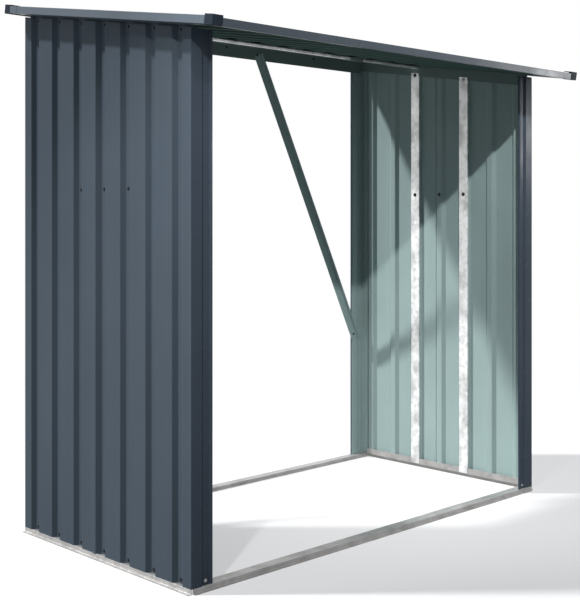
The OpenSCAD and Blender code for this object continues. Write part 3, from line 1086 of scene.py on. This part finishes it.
class LOGSTORE_OT_stage(Undoable, bpy.types.Operator):
    """Set the floor, the light and the camera"""
    bl_idname = "log_store.stage"
    bl_label = "Stage"

    def execute(self, context):
        stage = context.scene.log_store_stage
        self.floor()
        self.world(stage)
        self.light(stage)
        self.camera(stage)
        context.scene.view_settings.view_transform = "Standard"
        return {"FINISHED"}

    def floor(self):
        deselect()
        bpy.ops.mesh.primitive_plane_add(size=80)
        floor = bpy.context.object
        floor.name = "floor"
        material, tree, shader = nodes_of("pale_floor")
        ray = put(tree, "ShaderNodeLightPath")
        pale = put(tree, "ShaderNodeMapRange", {
            "Value": ray.outputs["Is Camera Ray"], "To Min": 0.30, "To Max": 0.9})
        tree.links.new(pale.outputs[0], shader.inputs["Base Color"])
        shader.inputs["Roughness"].default_value = 0.9
        shader.inputs["Specular IOR Level"].default_value = 0.1
        where = put(tree, "ShaderNodeTexCoord")
        far = put(tree, "ShaderNodeVectorMath", {0: where.outputs["Object"]}, operation="LENGTH")
        fade = put(tree, "ShaderNodeMapRange", {
            "Value": far.outputs["Value"], "From Min": 1.6, "From Max": 4.5,
            "To Min": 0.5, "To Max": 1.0}, interpolation_type="SMOOTHSTEP")
        share = multiply(tree, fade.outputs[0], self.seen(tree, ray))
        glow = put(tree, "ShaderNodeEmission", {"Color": (1, 1, 1, 1), "Strength": 1.0})
        mix = put(tree, "ShaderNodeMixShader", {0: share, 1: shader.outputs[0], 2: glow.outputs[0]})
        tree.links.new(mix.outputs[0], tree.nodes["Material Output"].inputs["Surface"])
        floor.data.materials.append(material)

    def seen(self, tree, ray):
        """1 for the rays that see the backdrop itself, 0 for those that gather its light."""
        out = ray.outputs["Is Camera Ray"]
        for kind in ("Is Glossy Ray", "Is Transmission Ray"):
            out = put(tree, "ShaderNodeMath", {0: out, 1: ray.outputs[kind]},
                      operation="MAXIMUM").outputs[0]
        return out

    def world(self, stage):
        world = bpy.data.worlds.new("studio")
        bpy.context.scene.world = world
        world.use_nodes = True
        tree = world.node_tree
        back = tree.nodes["Background"]
        ray = put(tree, "ShaderNodeLightPath")
        seen = self.seen(tree, ray)
        strength = put(tree, "ShaderNodeMapRange", {
            "Value": seen, "To Min": stage.sky, "To Max": 1.0})
        # the sky's light is a little blue; the backdrop is white
        tone = put(tree, "ShaderNodeMix", {
            0: seen, 6: (0.78, 0.95, 1.20, 1), 7: (1, 1, 1, 1)}, data_type="RGBA")
        tree.links.new(tone.outputs[2], back.inputs["Color"])
        tree.links.new(strength.outputs[0], back.inputs["Strength"])

    def light(self, stage):
        sun = self.lamp("key_light", "SUN", stage.sun, (-3, 3, 5), (-2, 2.054, 3.433))
        sun.angle = math.radians(4)
        fill = self.lamp("fill_light", "SPOT", stage.fill, (-2.17, -3.07, 3.76), (1.3, -0.4, 1.1))
        fill.spot_size = math.radians(52)
        corner = self.lamp("corner_light", "SPOT", stage.corner,
                           (-2.5, -1.6, 2.75), (-1, -0.5, 1.1))
        corner.spot_size = math.radians(44)
        for spot in (fill, corner):
            spot.spot_blend = 1.0
            spot.shadow_soft_size = 0.05
        side = self.lamp("side_panel", "AREA", stage.side, (-3.6, 0.6, 1.2), (-1, -0.3, 1.0))
        side.size = 2.0
        side.color = (0.85, 0.97, 1.0)
        glint = self.lamp("glint_panel", "AREA", stage.glint, (3.55, -2.36, 1.75), (-1, -0.5, 1.75))
        glint.shape = "RECTANGLE"
        glint.size = 0.3
        glint.size_y = 0.45

    def lamp(self, name, kind, power, spot, aim):
        """A lamp at a spot, shining at a point; both are measured from the walls' middle."""
        deselect()
        bpy.ops.object.light_add(type=kind, location=(spot[0], spot[1] + SHIFT, spot[2]))
        lamp = bpy.context.object
        lamp.name = name
        lamp.data.energy = power
        lamp.visible_camera = False
        lamp.rotation_mode = "QUATERNION"
        lamp.rotation_quaternion = (Vector(aim) - Vector(spot)).to_track_quat("-Z", "Y")
        return lamp.data

    def camera(self, stage):
        deselect()
        x, y, z = stage.spot
        bpy.ops.object.camera_add(
            location=(x, y + SHIFT, z), rotation=(math.pi / 2, 0, -stage.turn))
        camera = bpy.context.object
        camera.data.lens = stage.lens
        camera.data.shift_y = -stage.drop
        bpy.context.scene.camera = camera


class LOGSTORE_PT_panel(bpy.types.Panel):
    """Lists the store's operators."""
    bl_label = "Log Store"
    bl_idname = "LOGSTORE_PT_panel"
    bl_space_type = "VIEW_3D"
    bl_region_type = "UI"
    bl_category = "Log Store"

    def draw(self, context):
        for name in GROUPS:
            group = getattr(context.scene, name)
            box = self.layout.box()
            for key in group.bl_rna.properties.keys():
                if key not in ("rna_type", "name"):
                    box.prop(group, key)
        for operator in OPERATORS:
            self.layout.operator(operator.bl_idname)


GROUPS = {"log_store_sizes": LogStoreSizes, "log_store_colours": LogStoreColours,
          "log_store_stage": LogStoreStage}
OPERATORS = (
    LOGSTORE_OT_base_rails, LOGSTORE_OT_wall_panels, LOGSTORE_OT_posts, LOGSTORE_OT_wall_straps,
    LOGSTORE_OT_top_rails, LOGSTORE_OT_header, LOGSTORE_OT_braces, LOGSTORE_OT_purlin,
    LOGSTORE_OT_roof_sheets, LOGSTORE_OT_roof_edge, LOGSTORE_OT_corner_caps,
    LOGSTORE_OT_wall_screws, LOGSTORE_OT_frame_screws, LOGSTORE_OT_roof_screws,
    LOGSTORE_OT_stage,
)


def register():
    for kind in (*GROUPS.values(), *OPERATORS, LOGSTORE_PT_panel):
        bpy.utils.register_class(kind)
    for name, group in GROUPS.items():
        setattr(bpy.types.Scene, name, PointerProperty(type=group))


def unregister():
    for name in GROUPS:
        delattr(bpy.types.Scene, name)
    for kind in reversed((*GROUPS.values(), *OPERATORS, LOGSTORE_PT_panel)):
        bpy.utils.unregister_class(kind)


def main():
    register()
    for operator in OPERATORS:
        group, name = operator.bl_idname.split(".")
        getattr(getattr(bpy.ops, group), name)()


if __name__ == "__main__":
    main()
